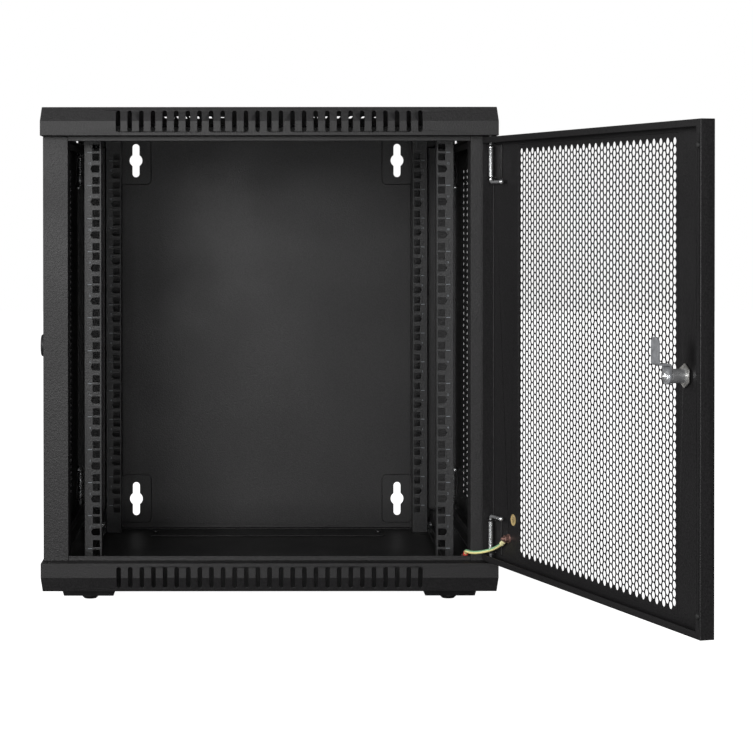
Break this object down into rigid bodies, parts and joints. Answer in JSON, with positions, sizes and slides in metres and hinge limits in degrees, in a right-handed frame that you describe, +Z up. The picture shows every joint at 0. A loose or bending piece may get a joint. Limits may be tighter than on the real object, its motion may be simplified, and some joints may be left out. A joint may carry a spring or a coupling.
{
  "type": "network server rack cabinet",
  "caption": "Compact wall or floor cabinet for 19 inch equipment, with a perforated front door, vented side doors and numbered rack rails.",
  "frame": {"origin": "on the floor, level with the soles of the feet, under the middle of the covers", "axes": "+Z up; the front door is on the -Y side and the wall on the +Y side; +X is to the right seen from the front"},
  "size_m": [0.7782, 1.1564, 0.655],
  "materials": {
    "powder_black": "fine-textured black powder coat",
    "rail_black": "black powder coat with printed grey marks",
    "bright_zinc": "bright zinc plate",
    "black_screws": "black oxide",
    "black_plastic": "moulded",
    "black_rubber": "moulded",
    "copper": "copper plate",
    "red_sleeve": "vinyl sleeve",
    "yellow_green": "vinyl, yellow with a green stripe",
    "earth_yellow": "vinyl"
  },
  "bodies": {
    "cabinet": {"base_cover": "powder_black", "top_cover": "powder_black", "back_panel": "powder_black", "post_front_left": "powder_black", "post_front_right": "powder_black", "post_rear_left": "powder_black", "post_rear_right": "powder_black", "post_end_plates": "powder_black", "cross_member_top": "powder_black", "cross_member_bottom": "powder_black", "side_bar_top_left": "powder_black", "side_bar_top_right": "powder_black", "side_bar_bottom_left": "powder_black", "side_bar_bottom_right": "powder_black", "rail_front_left": "rail_black", "rail_front_right": "rail_black", "rail_rear_left": "rail_black", "rail_rear_right": "rail_black", "rail_bar_top_left": "powder_black", "rail_bar_top_right": "powder_black", "rail_bar_bottom_left": "powder_black", "rail_bar_bottom_right": "powder_black", "rail_bolts": "bright_zinc", "frame_screws": "black_screws", "cable_plates": "powder_black", "foot_blocks": "black_plastic", "foot_pads": "black_rubber", "earth_post": "copper", "earth_lug_frame": "red_sleeve", "earth_wire": "yellow_green"},
    "front_door": {"door_skin": "powder_black", "door_mesh": "powder_black", "door_pin_brackets": "powder_black", "door_buffers": "black_rubber", "door_lock_barrel": "bright_zinc", "door_lock_nut": "bright_zinc", "door_earth_stud": "copper", "door_earth_mark": "earth_yellow", "door_spring_top": "bright_zinc", "door_spring_bottom": "bright_zinc", "earth_lug_door": "earth_yellow"},
    "front_pin_top": {"door_pin_top": "bright_zinc"},
    "front_pin_bottom": {"door_pin_bottom": "bright_zinc"},
    "front_cam": {"door_lock_cam": "bright_zinc"},
    "side_door_left": {"side_door_left": "powder_black", "side_brackets_left": "powder_black", "side_lock_left": "black_plastic", "side_spring_top_left": "bright_zinc", "side_spring_bottom_left": "bright_zinc"},
    "side_pin_top_left": {"side_pin_top_left": "bright_zinc"},
    "side_pin_bottom_left": {"side_pin_bottom_left": "bright_zinc"},
    "side_cam_left": {"side_cam_left": "bright_zinc"},
    "side_door_right": {"side_door_right": "powder_black", "side_brackets_right": "powder_black", "side_lock_right": "black_plastic", "side_spring_top_right": "bright_zinc", "side_spring_bottom_right": "bright_zinc"},
    "side_pin_top_right": {"side_pin_top_right": "bright_zinc"},
    "side_pin_bottom_right": {"side_pin_bottom_right": "bright_zinc"},
    "side_cam_right": {"side_cam_right": "bright_zinc"}
  },
  "joints": [
    {"name": "front_door_hinge", "type": "hinge", "parent": "cabinet", "child": "front_door", "pos_m": [0.2905, -0.291, 0.3375], "axis": [0, 0, 1], "range_deg": [-107, 73], "deforming": ["earth_wire"]},
    {"name": "front_pin_top_slide", "type": "slide", "parent": "front_door", "child": "front_pin_top", "axis": [0, 0, -1], "range_m": [0, 0.009], "stiffness_N_per_m": 600, "springref_m": -0.006, "deforming": ["door_spring_top"]},
    {"name": "front_pin_bottom_slide", "type": "slide", "parent": "front_door", "child": "front_pin_bottom", "axis": [0, 0, 1], "range_m": [0, 0.009], "stiffness_N_per_m": 600, "springref_m": -0.006, "deforming": ["door_spring_bottom"]},
    {"name": "front_cam_turn", "type": "hinge", "parent": "front_door", "child": "front_cam", "pos_m": [0.44443, -0.79449, 0.3375], "axis": [0.9563, 0.2924, 0], "range_deg": [0, 90]},
    {"name": "side_door_left_hinge", "type": "hinge", "parent": "cabinet", "child": "side_door_left", "pos_m": [-0.292, 0.287, 0.3375], "axis": [0, 0, -1], "range_deg": [0, 105]},
    {"name": "side_pin_top_left_slide", "type": "slide", "parent": "side_door_left", "child": "side_pin_top_left", "axis": [0, 0, -1], "range_m": [0, 0.009], "stiffness_N_per_m": 600, "springref_m": -0.006, "deforming": ["side_spring_top_left"]},
    {"name": "side_pin_bottom_left_slide", "type": "slide", "parent": "side_door_left", "child": "side_pin_bottom_left", "axis": [0, 0, 1], "range_m": [0, 0.009], "stiffness_N_per_m": 600, "springref_m": -0.006, "deforming": ["side_spring_bottom_left"]},
    {"name": "side_cam_left_turn", "type": "hinge", "parent": "side_door_left", "child": "side_cam_left", "pos_m": [-0.292, -0.195, 0.3375], "axis": [1, 0, 0], "range_deg": [0, 90]},
    {"name": "side_door_right_hinge", "type": "hinge", "parent": "cabinet", "child": "side_door_right", "pos_m": [0.292, 0.287, 0.3375], "axis": [0, 0, 1], "range_deg": [0, 105]},
    {"name": "side_pin_top_right_slide", "type": "slide", "parent": "side_door_right", "child": "side_pin_top_right", "axis": [0, 0, -1], "range_m": [0, 0.009], "stiffness_N_per_m": 600, "springref_m": -0.006, "deforming": ["side_spring_top_right"]},
    {"name": "side_pin_bottom_right_slide", "type": "slide", "parent": "side_door_right", "child": "side_pin_bottom_right", "axis": [0, 0, 1], "range_m": [0, 0.009], "stiffness_N_per_m": 600, "springref_m": -0.006, "deforming": ["side_spring_bottom_right"]},
    {"name": "side_cam_right_turn", "type": "hinge", "parent": "side_door_right", "child": "side_cam_right", "pos_m": [0.292, -0.195, 0.3375], "axis": [1, 0, 0], "range_deg": [0, 90]}
  ]
}
